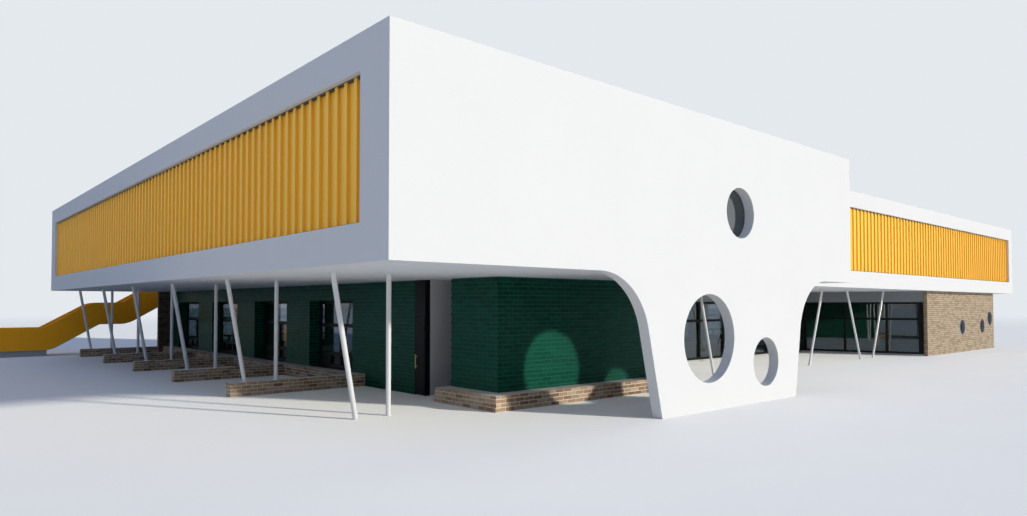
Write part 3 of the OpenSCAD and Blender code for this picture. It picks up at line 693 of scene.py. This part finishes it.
def far_wall_bricks():
    """Brown bricks on the far wall and its fin."""
    low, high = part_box("far_brick_wall")
    facade_low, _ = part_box("green_front")
    found = windows_in("far_brick_wall")
    shape = Shape()
    wall_face(shape, FACING, low, high, BACK, (1, 1), found, high.y - found[0][1].y)
    wall_face(shape, FACING, low, high, LEFT)
    wall_face(shape, FACING, low, high, RIGHT)
    wall_face(shape, FACING, low, Vector((facade_low.x, high.y, high.z)), FRONT, (1, 0))
    shape.build("far_wall_bricks", BROWN, "brown_brick")


def cut_round(piece, centre, radius, reach):
    """Cuts a round hole along y through a piece."""
    tool = Shape()
    lathe(tool, centre - Vector((0, reach, 0)), (0, 1, 0),
          ((0, 0), (radius, 0), (radius, 2 * reach), (0, 2 * reach)), ROUND_SIDES)
    mesh = bpy.data.meshes.new("cutter")
    mesh.from_pydata(tool.points, [], tool.faces)
    cutter = linked("cutter", mesh)
    step = piece.modifiers.new("cut", "BOOLEAN")
    step.operation, step.solver, step.object = "DIFFERENCE", "EXACT", cutter
    shown = piece.evaluated_get(bpy.context.evaluated_depsgraph_get())
    piece.data = bpy.data.meshes.new_from_object(shown)
    piece.modifiers.clear()
    bpy.data.objects.remove(cutter)


def round_windows_in_room():
    """Centre, radius and depth of each round hole in the tan brick room, read from its glass."""
    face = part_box("room_front_wall")[0].y
    deepest = 0.15
    found = [box_of(s) for s in solids("round_glass")]
    return [(Vector(((a.x + b.x) / 2, face, (a.z + b.z) / 2)), (b.x - a.x) / 2, a.y - face)
            for a, b in found if abs(a.y - face) < deepest]


def tan_room():
    """Bricks round the tan room, with steel sleeves in its round holes."""
    low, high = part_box("room_front_wall")
    shape = Shape()
    wall_face(shape, RAKED, low, high, FRONT)
    piece = shape.build("room_front_bricks", TAN, "tan_brick")
    sleeves = Shape()
    reach, rim, lip = 0.03, 0.010, 0.012
    for centre, radius, depth in round_windows_in_room():
        cut_round(piece, centre, radius, reach)
        lathe(sleeves, centre, (0, 1, 0),
              ((radius + rim, 0), (radius + rim, -0.006), (radius - 0.002, -0.008),
               (radius - lip, -0.004), (radius - lip, depth), (radius, depth), (radius, 0),
               (radius + rim, 0)), ROUND_SIDES)
    smooth_by_angle(sleeves.build("round_sleeves", EDGE_STEEL, "black_frame"))

    side_low, side_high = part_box("room_side_wall")
    shape = Shape()
    wall_face(shape, RAKED, Vector((side_low.x, low.y, 0)), side_high, RIGHT)
    post_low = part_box("glazed_wall_frame")[0].y
    brickwork(shape, RAKED, (low.x, post_low, 0), FRONT, post_low - low.y + BRICK_PROUD, 0, high.z)
    shape.build("room_side_bricks", TAN, "tan_brick")


def low_walls():
    """Bricks and copings on the cross walls, the sill wall and the corner seat."""
    shape = Shape()
    for points in solids("cross_walls"):
        low, high = box_of(points)
        for facing in (FRONT, BACK):
            wall_face(shape, FACING, low, high, facing, (0, 1) if facing == BACK else (1, 0))
        wall_face(shape, FACING, low, high, LEFT)
        coping(shape, FACING, (low.x, low.y, high.z), (1, 0, 0), high.x - low.x,
               ((0, high.y - low.y),))
    low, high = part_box("sill_wall")
    wall_face(shape, FACING, low, high, LEFT, (0, 0))
    wall_face(shape, FACING, low, high, FRONT, (1, 0))
    coping(shape, FACING, (high.x, low.y, high.z), (0, 1, 0), high.y - low.y,
           ((0, COPING_SPLIT[0]), (COPING_SPLIT[1], high.x - low.x)))
    shape.build("low_wall_bricks", BUFF, "buff_brick")

    low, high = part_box("corner_seat")
    block_low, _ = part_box("green_block")
    shape = Shape()
    wall_face(shape, FACING, low, high, FRONT)
    wall_face(shape, FACING, low, high, LEFT)
    wall_face(shape, FACING, low, Vector((high.x, block_low.y, high.z)), RIGHT, (1, 0))
    wall_face(shape, FACING, low, Vector((block_low.x, high.y, high.z)), BACK, (0, 1))
    rows = ((0, COPING_SPLIT[0]), (COPING_SPLIT[1], block_low.x - low.x))
    coping(shape, FACING, (block_low.x, low.y, high.z), (0, 1, 0), high.y - low.y, rows)
    coping(shape, FACING, (block_low.x, low.y, high.z), (1, 0, 0), high.x - block_low.x, rows)
    shape.build("corner_seat_bricks", BUFF, "buff_brick")


# Cladding

def ribbed_panel(sheet, shade_strips, low, high, facing):
    """A ribbed sheet with half a rib at both ends, between dark strips that paint shade at its head
    and foot, with dark blocks that paint the head's shade atop the valleys.
    """
    out = Vector(facing)
    along = UP.cross(out)
    centre = (low + high) / 2
    length = abs((high - low).dot(along))
    deep = abs((high - low).dot(out))
    tall = high.z - low.z
    back = centre - along * length / 2 - out * deep / 2
    back.z = low.z
    ribs = round(length / RIB_PITCH)
    pitch = length / ribs
    half, valley = RIB_FACE / 2, deep - RIB_DEPTH
    outline = [(0, 0), (0, deep)]
    for i in range(ribs):
        left, right = i * pitch + half, (i + 1) * pitch - half
        outline += [(left - RIB_EDGE, deep), (left, deep - RIB_EDGE), (left + RIB_SIDE, valley),
                    (right - RIB_SIDE, valley), (right, deep - RIB_EDGE), (right + RIB_EDGE, deep)]
    outline += [(length, deep), (length, 0)]
    top = tall - SHADE_STRIP_HEAD
    extrude(sheet, outline, back + UP * SHADE_STRIP_FOOT, UP * (top - SHADE_STRIP_FOOT), along, side=out)
    axes = (along, out, UP)
    # Dark strips at the head and the foot, a little behind the ribs' faces: painted shade lines
    shallow = deep - SHADE_STRIP_BACK
    oriented_block(shade_strips, back + UP * top, axes, (length, shallow, SHADE_STRIP_HEAD))
    oriented_block(shade_strips, back, axes, (length, shallow, SHADE_STRIP_FOOT))
    # Dark blocks at the top of each valley: the head's painted shade
    shade_notch = (pitch - RIB_FACE - 2 * RIB_SIDE, RIB_DEPTH - SHADE_STRIP_BACK, SHADE_NOTCH_TALL)
    first = back + out * valley + UP * (top - SHADE_NOTCH_TALL)
    for i in range(ribs):
        oriented_block(shade_strips, first + along * (i * pitch + half + RIB_SIDE), axes, shade_notch)


def cladding():
    """Ribbed panels in place of the CAD's plain ones, with dark strips and blocks of painted shade
    along their edges.
    """
    court = sorted((box_of(s) for s in solids("court_cladding")),
                   key=lambda b: b[1].x - b[0].x)
    jobs = (("left_ribs", "left_cladding", (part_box("left_cladding"),), (LEFT,)),
            ("wing_front_ribs", "wing_front_cladding", (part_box("wing_front_cladding"),), (FRONT,)),
            ("court_ribs", "court_cladding", court, (RIGHT, BACK)))
    for name, node, boxes, sides in jobs:
        sheet, shade_strips = Shape(), Shape()
        for (low, high), facing in zip(boxes, sides):
            ribbed_panel(sheet, shade_strips, low, high, facing)
        sheet.build(name, YELLOW, "yellow_cladding", replaces=(node,))
        # Painted shade: the dark strips and blocks along the panels' edges
        shade_strips.build(name + "_strips", PAINTED_SHADE, "yellow_cladding")


# Windows and glazing

def beads(shape, node, normal):
    """A glazing bead round each pane of a frame that looks along a normal."""
    out = Vector(normal)
    along = UP.cross(out)
    depth, width, back = 0.014, 0.008, 0.048
    levels = ((0, depth), (width * 0.4, depth - 0.002), (width, depth + 0.003), (width, back),
              (0, back))
    for ring, is_hole in loops(node, out):
        if not is_hole:
            continue
        plane = ring[0].dot(out)
        a0, a1 = min(p.dot(along) for p in ring), max(p.dot(along) for p in ring)
        z0, z1 = min(p.z for p in ring), max(p.z for p in ring)
        points = [along * a + UP * z + out * (plane - behind) for inset, behind in levels
                  for a, z in ((a0 + inset, z0 + inset), (a1 - inset, z0 + inset),
                               (a1 - inset, z1 - inset), (a0 + inset, z1 - inset))]
        shape.add(points, ring_faces(len(levels), 4, closed=True))


def glazing_details():
    """Beads round the panes, and a sill under each window."""
    shape = Shape()
    for normal in (LEFT, RIGHT, BACK):
        beads(shape, "window_frames", normal)
    beads(shape, "entrance_screen", LEFT)
    beads(shape, "glazed_wall_frame", FRONT)
    beads(shape, "glazed_wall_frame", slant_of("glazed_wall_frame"))
    shape.build("glazing_beads", RUBBER, "black_frame")

    sills = Shape()
    overhang, tall, lip, drip, sheet, seat = 0.012, 0.016, 0.006, 0.012, 0.003, 0.004
    for node, facing in (("green_front", LEFT), ("court_side_wall", RIGHT),
                         ("court_back_wall", BACK), ("far_brick_wall", BACK)):
        out = Vector(facing)
        along = UP.cross(out)
        wall_face_at = max(corner.dot(out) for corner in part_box(node)) + overhang
        for low, high in windows_in(node):
            frame_face = max(low.dot(out), high.dot(out))
            starts = min(low.dot(along), high.dot(along))
            wide = abs((high - low).dot(along))
            corner = along * starts + out * frame_face + UP * (low.z - seat)
            edge = wall_face_at - frame_face
            section = ((0, 0), (0, tall), (edge, lip), (edge, -drip), (edge - sheet, -drip),
                       (edge - sheet, 0))
            extrude(sills, section, corner, along * wide, out, UP)
    sills.build("window_sills", BLACK, "black_frame")


def upper_round_windows():
    """Slim beads on both sides of the glass of each upper round window."""
    shape = Shape()
    rings = [box_of(points) for points in solids("round_window_rings")]
    panes = [box_of(points) for points in solids("round_glass")]
    for ring_low, ring_high in rings:
        middle = (ring_low + ring_high) / 2
        low, high = min(panes, key=lambda b: ((b[0] + b[1]) / 2 - middle).length)
        centre = (low + high) / 2
        radius, half = (high.z - low.z) / 2, min(high - low) / 2
        inward = (middle - centre).normalized()
        for way, wide, tall in ((1, 0.014, 0.010), (-1, 0.006, 0.005)):
            lathe(shape, centre, inward * way,
                  ((radius - wide, half), (radius - wide * 0.8, half + tall),
                   (radius, half + tall), (radius, half), (radius - wide, half)), ROUND_SIDES)
    smooth_by_angle(shape.build("round_gaskets", RUBBER, "black_frame"))


# Columns and posts

def bolt(shape, place, size):
    """A hexagonal nut on a washer, standing on a level plate."""
    lathe(shape, place, UP, ((0, 0), (size * 1.5, 0), (size * 1.5, size * 0.25),
                             (size, size * 0.25), (size, size * 0.9), (size * 0.8, size * 1.1),
                             (0, size * 1.1)), NUT_SIDES)


def column(shape, foot, head, radius):
    """A tube that is cut level at both ends, with a flange and bolts at its foot."""
    sides = COLUMN_SIDES
    lean = (head - foot).xy
    stretch = (head - foot).length / (head.z - foot.z)
    ahead = Vector((lean.x, lean.y, 0)).normalized() if lean.length > 1e-4 else Vector((1, 0, 0))
    aside = UP.cross(ahead)
    steps = (0.0, 0.5, 1.0)
    points = []
    for step in steps:
        middle = foot.lerp(head, step)
        for i in range(sides):
            turn = 2 * math.pi * i / sides
            points.append(middle + ahead * (math.cos(turn) * radius * stretch)
                          + aside * (math.sin(turn) * radius))
    shape.add(points, ring_faces(len(steps), sides), smooth=True)
    shape.add(points[:sides] + points[-sides:], end_faces(2, sides))
    flange, thick, worn = radius * stretch + 0.014, 0.006, 0.001
    for base, way in ((foot, 1), (head, -1)):
        lathe(shape, base, UP * way, ((0, 0), (flange, 0), (flange, thick - worn),
                                      (flange - worn, thick), (0, thick)), sides)
    weld = radius * stretch + 0.004
    lathe(shape, foot + UP * thick, UP, ((weld + 0.002, 0), (weld, 0.004), (0, 0.008)), sides)
    bolt_size, bolt_inset = 0.003, 0.006
    for i in range(4):
        turn = math.pi * (0.25 + 0.5 * i)
        way = ahead * math.cos(turn) + aside * math.sin(turn)
        bolt(shape, foot + UP * thick + way * (flange - bolt_inset), bolt_size)


def columns():
    """Round columns and posts in place of the CAD's."""
    for node in ("upright_columns", "slanted_columns", "wing_columns", "stair_posts"):
        shape = Shape()
        for points in solids(node):
            low, high = box_of(points)
            ends = []
            for level in (low.z, high.z):
                a, b = box_of([p for p in points if abs(p.z - level) < 1e-4])
                ends.append((a + b) / 2)
            column(shape, *ends, (high.y - low.y) / 2)
        smooth_by_angle(shape.build(node + "_steel", TUBE, "white_steel", replaces=(node,)))


# Services door

def services_door():
    """The pull handle on its stems, and the door's skin with its lock."""
    low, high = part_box("service_door")
    rod_low, rod_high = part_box("service_handle")
    radius = (rod_high.y - rod_low.y) / 2
    centre = Vector((rod_low.x + radius, (rod_low.y + rod_high.y) / 2, rod_low.z))
    tall = rod_high.z - rod_low.z
    rod = Shape()
    dome = radius * 0.4
    lathe(rod, centre, UP, ((0, 0), (radius * 0.7, dome * 0.3), (radius, dome),
                            (radius, tall - dome), (radius * 0.7, tall - dome * 0.3), (0, tall)),
          TURNED_SIDES)
    leaf_face = rod_high.x
    for share in (1 / 6, 5 / 6):
        stem = Vector((leaf_face, centre.y, rod_low.z + tall * share))
        reach = leaf_face - centre.x
        lathe(rod, stem, LEFT, ((0, 0), (radius * 1.5, 0), (radius * 1.5, 0.003),
                                (radius * 0.55, 0.005), (radius * 0.5, reach)), LOCK_SIDES)
    smooth_by_angle(rod.build("pull_rod", BRASS, "brass_handle", "door", ("service_handle",)))

    leaf = Shape()
    border, proud, thick, hinge_gap, lock_drop = 0.02, 0.0012, 0.004, 0.004, 0.05
    face = leaf_face - proud
    block(leaf, (face, low.y + hinge_gap + border, low.z + border),
          (face + thick, high.y - border, high.z - border), proud)
    lock = Vector((face, centre.y, rod_low.z - lock_drop))
    lathe(leaf, lock, LEFT, ((0, 0), (0.011, 0), (0.011, 0.0015), (0.009, 0.0025), (0, 0.0025)),
          LOCK_SIDES)
    leaf.build("door_skin", BLACK, "black_frame", "door")


# Stair

def lower_edge(ring):
    """The points along the bottom of a plate's outline, from its left end to its right end."""
    left = min(p.x for p in ring)
    right = max(p.x for p in ring)
    first = min((p for p in ring if p.x < left + 1e-4), key=lambda p: p.z)
    last = min((p for p in ring if p.x > right - 1e-4), key=lambda p: p.z)
    i, j = ring.index(first), ring.index(last)
    one = ring[i:j + 1] if i < j else ring[i:] + ring[:j + 1]
    two = (ring[j:i + 1] if j < i else ring[j:] + ring[:i + 1])[::-1]
    return min((one, two), key=lambda chain: sum(p.z for p in chain) / len(chain))


def stair_details():
    """Steel edges under the side plates, and a nosing on each tread."""
    trims = Shape()
    plate, thin, tall = 0.04, 0.003, 0.010
    section = ((-thin, -thin), (plate + thin, -thin), (plate + thin, tall), (plate, tall),
               (plate, 0.0), (0.0, 0.0), (0.0, tall), (-thin, tall))
    wide = len(section)
    for ring, _ in loops("stair_side_plates", Vector(FRONT)):
        chain = lower_edge(ring)
        points = []
        for k, p in enumerate(chain):
            before, after = chain[max(0, k - 1)], chain[min(len(chain) - 1, k + 1)]
            run = (after - before).normalized()
            rise = Vector((-run.z, 0, run.x))
            points += [p + Vector((0, a, 0)) + rise * b for a, b in section]
        trims.add(points, ring_faces(len(chain), wide) + end_faces(len(chain), wide))
    trims.build("plate_edges", EDGE_STEEL, "yellow_steel")

    nosings = Shape()
    ahead, deep, down, up, inset, worn = 0.002, 0.022, 0.018, 0.0015, 0.004, 0.0008
    for low, high in (box_of(s) for s in solids("stair_treads")):
        block(nosings, (low.x - ahead, low.y + inset, high.z - down),
              (low.x + deep, high.y - inset, high.z + up), worn)
    nosings.build("tread_nosings", RUBBER, "concrete")


# Roof

def roof_details():
    """Laps and upstands of the roof sheet, drains, and the parapet's capping."""
    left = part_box("left_wall")[1].x
    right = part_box("side_walls")[0].x
    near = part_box("end_wall")[1].y
    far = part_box("far_wall")[0].y
    wing_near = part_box("wing_front_wall")[1].y
    wing_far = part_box("wing_back_wall")[0].y
    wing_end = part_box("wing_end_wall")[0].x
    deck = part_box("roof_deck")[1].z
    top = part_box("end_wall")[1].z
    seams = Shape()
    lap, pitch, sunk, thick = 0.045, 0.53, 0.001, 0.0025
    for i in range(1, int((far - near) / pitch) + 1):
        y = near + i * pitch
        if y + lap < far:
            block(seams, (left, y, deck - sunk), (right, y + lap, deck + thick))
    for i in range(int((wing_end - right) / pitch) + 1):
        x = right + i * pitch
        if x + lap < wing_end:
            block(seams, (x, wing_near, deck - sunk), (x + lap, wing_far, deck + thick))
    corners = ((left, near), (left, far), (right, far), (right, wing_far), (wing_end, wing_far),
               (wing_end, wing_near), (right, wing_near), (right, near))
    bars = Shape()
    up, bar_drop, bar_size = 0.15, 0.012, (0.008, 0.022)
    section = ((0, 0), (0.05, 0), (0.05, 0.003), (0.014, 0.006), (0.004, 0.02), (0.004, up),
               (0, up))
    for (x0, y0), (x1, y1) in zip(corners, corners[1:] + corners[:1]):
        start, end = Vector((x0, y0, deck)), Vector((x1, y1, deck))
        along = (end - start).normalized()
        inward = along.cross(UP)
        size = (end - start).length
        extrude(seams, section, start, along * size, inward, UP)
        oriented_block(bars, start + UP * (up - bar_drop), (along, inward, UP), (size, *bar_size))
    seams.build("roof_laps", MEMBRANE, "roof_membrane")

    drains = Shape()
    aside, main_share, wing_share = 0.6, 3.0, 2.0
    for x, y in ((left + aside, near + main_share), (left + aside, far - main_share),
                 (wing_end - aside, wing_near + wing_share),
                 (wing_end - aside, wing_far - wing_share)):
        lathe(drains, (x, y, deck), UP, ((0.11, 0), (0.11, 0.004), (0.075, 0.007), (0.06, 0.03),
                                         (0.035, 0.045), (0, 0.05)), TURNED_SIDES)
        for i in range(8):
            turn = math.pi * i / 4
            spoke = Vector((math.cos(turn), math.sin(turn), 0))
            across = spoke.cross(UP)
            oriented_block(drains, Vector((x, y, deck + 0.006)) + spoke * 0.03 - across * 0.003,
                           (spoke, across, UP), (0.05, 0.006, 0.035))
    drains.build("roof_drains", RUBBER, "roof_membrane")

    cover, gap, longest, worn = 0.0005, 0.002, 1.5, 0.0004
    for node in ("end_wall", "left_wall", "far_wall", "side_walls", "wing_front_wall",
                 "wing_end_wall", "wing_back_wall"):
        for ring, is_hole in loops(node, UP):
            if is_hole or ring[0].z < top - 0.001:
                continue
            low, high = box_of(ring)
            long = 0 if high.x - low.x > high.y - low.y else 1
            count = max(1, round((high[long] - low[long]) / longest))
            share = (high[long] - low[long]) / count
            for i in range(count):
                a, b = low.copy(), high.copy()
                a[long] = low[long] + i * share + gap
                b[long] = low[long] + (i + 1) * share - gap
                a.z, b.z = top - cover, top + cover
                block(bars, a, b, worn)
    bars.build("parapet_capping", CAPPING, "white_render")


green_walls()
far_wall_bricks()
tan_room()
low_walls()
cladding()
glazing_details()
upper_round_windows()
columns()
services_door()
stair_details()
roof_details()


# Stage, light and camera

def pale_floor():
    """A pale floor that keeps shadows near the part and fades to the backdrop far away."""
    mesh = bpy.data.meshes.new("floor")
    mesh.from_pydata([(x * FLOOR_HALF, y * FLOOR_HALF, -FLOOR_DROP)
                      for x, y in ((-1, -1), (1, -1), (1, 1), (-1, 1))], [], [(0, 1, 2, 3)])
    floor = linked("floor", mesh)
    paint = Paint("floor_paint", Roughness=0.9)
    tree = paint.tree
    body = paint.ramp(paint.noise(0.35, 3), ((0.3, (0.93, 0.92, 0.905)),
                                             (0.7, (0.95, 0.94, 0.925))))
    rays = paint.node("ShaderNodeLightPath").outputs
    bounce = paint.blend(1.0, body, FLOOR_BOUNCE, "MULTIPLY")
    mirrored = paint.blend(1.0, body, FLOOR_GLOSS, "MULTIPLY")
    unseen = paint.blend(rays["Is Glossy Ray"], bounce, mirrored)
    body = paint.blend(rays["Is Camera Ray"], unseen, body)
    relief = paint.node("ShaderNodeCombineXYZ", feeds=FLOOR_RELIEF)
    mesh.materials.append(paint.feed(Base_Color=body, Normal=relief.outputs[0]))
    away = paint.node("ShaderNodeVectorMath", {"operation": "LENGTH"}, (paint.place,))
    fade = smooth_range(tree, away.outputs["Value"], FADE_START, FADE_END)
    share = calc(tree, "MULTIPLY", calc(tree, "MAXIMUM", fade, FLOOR_LIFT), rays["Is Camera Ray"])
    backdrop = paint.node("ShaderNodeEmission", Color=BACKDROP)
    mixed = paint.node("ShaderNodeMixShader", None,
                       (share, paint.shader.outputs[0], backdrop.outputs[0]))
    plug(tree, tree.nodes["Material Output"].inputs["Surface"], mixed.outputs[0])


def light():
    """The lamp, and a world that fills shadows and shows the backdrop to eye, gloss and glass."""
    lamp = bpy.data.lights.new("key", "SUN")
    lamp.energy, lamp.angle, lamp.color = SUN_STRENGTH, SUN_ANGLE, SUN_COLOUR
    linked("key", lamp).rotation_euler = SUN_TRAVEL.to_track_quat("-Z", "Y").to_euler()
    world = bpy.data.worlds.new("world")
    bpy.context.scene.world = world
    world.use_nodes = True
    tree = world.node_tree
    way = add_node(tree, "ShaderNodeTexCoord").outputs["Generated"]
    slope = add_node(tree, "ShaderNodeVectorMath", {"operation": "DOT_PRODUCT"},
                     (way, FILL_SLOPE)).outputs["Value"]
    level = calc(tree, "MAXIMUM", calc(tree, "ADD", slope, FILL_LEVEL), 0.0)
    height = add_node(tree, "ShaderNodeSeparateXYZ", None, (way,)).outputs["Z"]
    sky = smooth_range(tree, height, 0.0, GLOSS_RISE, GLOSS_LOW, GLOSS_HIGH)
    fill, gloss, plain = [
        add_node(tree, "ShaderNodeBackground", Color=colour, Strength=strength).outputs[0]
        for colour, strength in ((FILL_COLOUR, level), (BACKDROP, sky), (BACKDROP, 1.0))]
    rays = add_node(tree, "ShaderNodeLightPath").outputs
    shown = calc(tree, "MAXIMUM", rays["Is Camera Ray"], rays["Is Transmission Ray"])
    seen = fill
    for share, above in ((rays["Is Glossy Ray"], gloss), (shown, plain)):
        seen = add_node(tree, "ShaderNodeMixShader", None, (share, seen, above)).outputs[0]
    plug(tree, tree.nodes["World Output"].inputs["Surface"], seen)


def camera():
    """The camera that was solved from the picture."""
    lens = bpy.data.cameras.new("camera")
    lens.sensor_width = 36
    lens.lens = 24.735
    lens.shift_y = 0.0291
    lens.clip_end = 1000
    eye = linked("camera", lens)
    eye.location = (-9.4659, -5.7804, 1.5)
    eye.rotation_euler = (math.radians(91.424), 0, math.radians(-41.44))
    bpy.context.scene.camera = eye


pale_floor()
light()
camera()
bpy.context.scene.view_settings.view_transform = "Standard"
